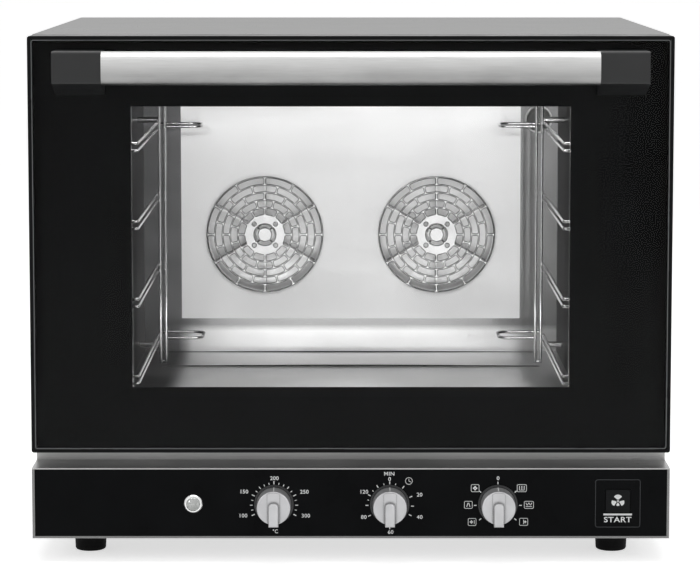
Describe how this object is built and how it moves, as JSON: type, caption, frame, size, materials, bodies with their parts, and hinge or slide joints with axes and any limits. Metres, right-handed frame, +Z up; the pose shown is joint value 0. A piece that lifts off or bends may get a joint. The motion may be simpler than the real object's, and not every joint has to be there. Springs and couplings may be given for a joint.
{
  "type": "convection oven",
  "caption": "Bench-top convection oven: drop-down glass door with bar handle, fan-assisted steel cavity with wire tray racks, and a control panel with rotary knobs and a start button.",
  "frame": {"origin": "on the supporting surface, centred in width and in overall depth", "axes": "+Z up; the door faces -Y; +X to the right seen from the front"},
  "size_m": [0.76, 0.755, 0.629],
  "materials": {
    "cabinet_steel": "satin stainless steel sheet",
    "black_paint": "gloss black enamel",
    "fascia_black": "gloss black with printed markings",
    "cavity_steel": "polished stainless steel",
    "plated_wire": "bright chrome",
    "guard_steel": "bright polished steel",
    "clear_glass": "clear toughened glass",
    "glass_enamel": "black enamel fired on glass",
    "handle_steel": "brushed along its length",
    "black_plastic": "fine moulded grain",
    "button_black": "gloss",
    "silver_plastic": "satin silver lacquer",
    "black_rubber": "matte",
    "seal_silicone": "matte silicone",
    "mineral_wool": "loose fibre",
    "element_steel": "heat-darkened",
    "motor_aluminium": "cast",
    "shaft_steel": "ground",
    "switch_plastic": "moulded",
    "lamp_lens": "clear",
    "zinc_screw": "zinc plated",
    "gland_plastic": "moulded"
  },
  "bodies": {
    "cabinet": {"top_cover": "cabinet_steel", "side_panel_left": "cabinet_steel", "side_panel_right": "cabinet_steel", "rear_panel": "cabinet_steel", "base_tray": "cabinet_steel", "feet": "black_rubber", "control_ledge": "cabinet_steel", "control_fascia": "fascia_black", "front_frame": "cabinet_steel", "cavity_liner": "cavity_steel", "insulation": "mineral_wool", "motor_bulkhead": "cabinet_steel", "door_gasket": "seal_silicone", "fan_baffle": "cavity_steel", "fan_guard_left": "guard_steel", "fan_guard_right": "guard_steel", "fan_motor_left": "motor_aluminium", "fan_motor_right": "motor_aluminium", "heating_element_left": "element_steel", "heating_element_right": "element_steel", "rack_left": "plated_wire", "rack_right": "plated_wire", "lamp_holder": "cavity_steel", "lamp_glass": "lamp_lens", "steam_vent": "cavity_steel", "cable_gland": "gland_plastic", "terminal_block": "switch_plastic", "dial_rings": "black_plastic", "thermostat": "switch_plastic", "timer_unit": "switch_plastic", "selector_switch": "switch_plastic", "pilot_lamp": "shaft_steel", "pilot_lens": "lamp_lens", "start_switch": "switch_plastic", "hinge_bracket_left": "shaft_steel", "hinge_bracket_right": "shaft_steel", "cabinet_screws": "zinc_screw"},
    "door": {"door_frame": "black_paint", "outer_glass": "clear_glass", "glass_border": "glass_enamel", "door_inner_panel": "cavity_steel", "inner_glass": "clear_glass", "handle_bar": "handle_steel", "handle_bracket_left": "black_plastic", "handle_bracket_right": "black_plastic", "handle_screws": "zinc_screw", "hinge_arm_left": "shaft_steel", "hinge_arm_right": "shaft_steel"},
    "temperature_dial": {"temperature_knob": "silver_plastic", "temperature_spindle": "shaft_steel"},
    "timer_dial": {"timer_knob": "silver_plastic", "timer_spindle": "shaft_steel"},
    "function_dial": {"function_knob": "silver_plastic", "function_spindle": "shaft_steel"},
    "start_key": {"start_button": "button_black"},
    "fan_left": {"fan_wheel_left": "cavity_steel", "fan_shaft_left": "shaft_steel"},
    "fan_right": {"fan_wheel_right": "cavity_steel", "fan_shaft_right": "shaft_steel"}
  },
  "joints": [
    {"name": "door_hinge", "type": "hinge", "parent": "cabinet", "child": "door", "pos_m": [0, -0.2955, 0.147], "axis": [1, 0, 0], "range_deg": [0, 90], "stiffness_Nm_per_rad": 10, "springref_deg": -8.59},
    {"name": "temperature_knob_turn", "type": "hinge", "parent": "cabinet", "child": "temperature_dial", "pos_m": [-0.0917, -0.3215, 0.071], "axis": [0, 1, 0], "range_deg": [-115.2, 115.2]},
    {"name": "timer_knob_turn", "type": "hinge", "parent": "cabinet", "child": "timer_dial", "pos_m": [0.0464, -0.3215, 0.071], "axis": [0, 1, 0], "range_deg": [0, 300]},
    {"name": "function_knob_turn", "type": "hinge", "parent": "cabinet", "child": "function_dial", "pos_m": [0.1754, -0.3215, 0.071], "axis": [0, 1, 0], "range_deg": [-129, 129]},
    {"name": "start_button_press", "type": "slide", "parent": "cabinet", "child": "start_key", "axis": [0, 1, 0], "range_m": [0, 0.003], "stiffness_N_per_m": 400, "springref_m": -0.001},
    {"name": "fan_left_spin", "type": "hinge", "parent": "cabinet", "child": "fan_left", "pos_m": [-0.117, 0.2385, 0.3387], "axis": [0, 1, 0], "continuous": true},
    {"name": "fan_right_spin", "type": "hinge", "parent": "cabinet", "child": "fan_right", "pos_m": [0.117, 0.2385, 0.3387], "axis": [0, 1, 0], "continuous": true}
  ]
}
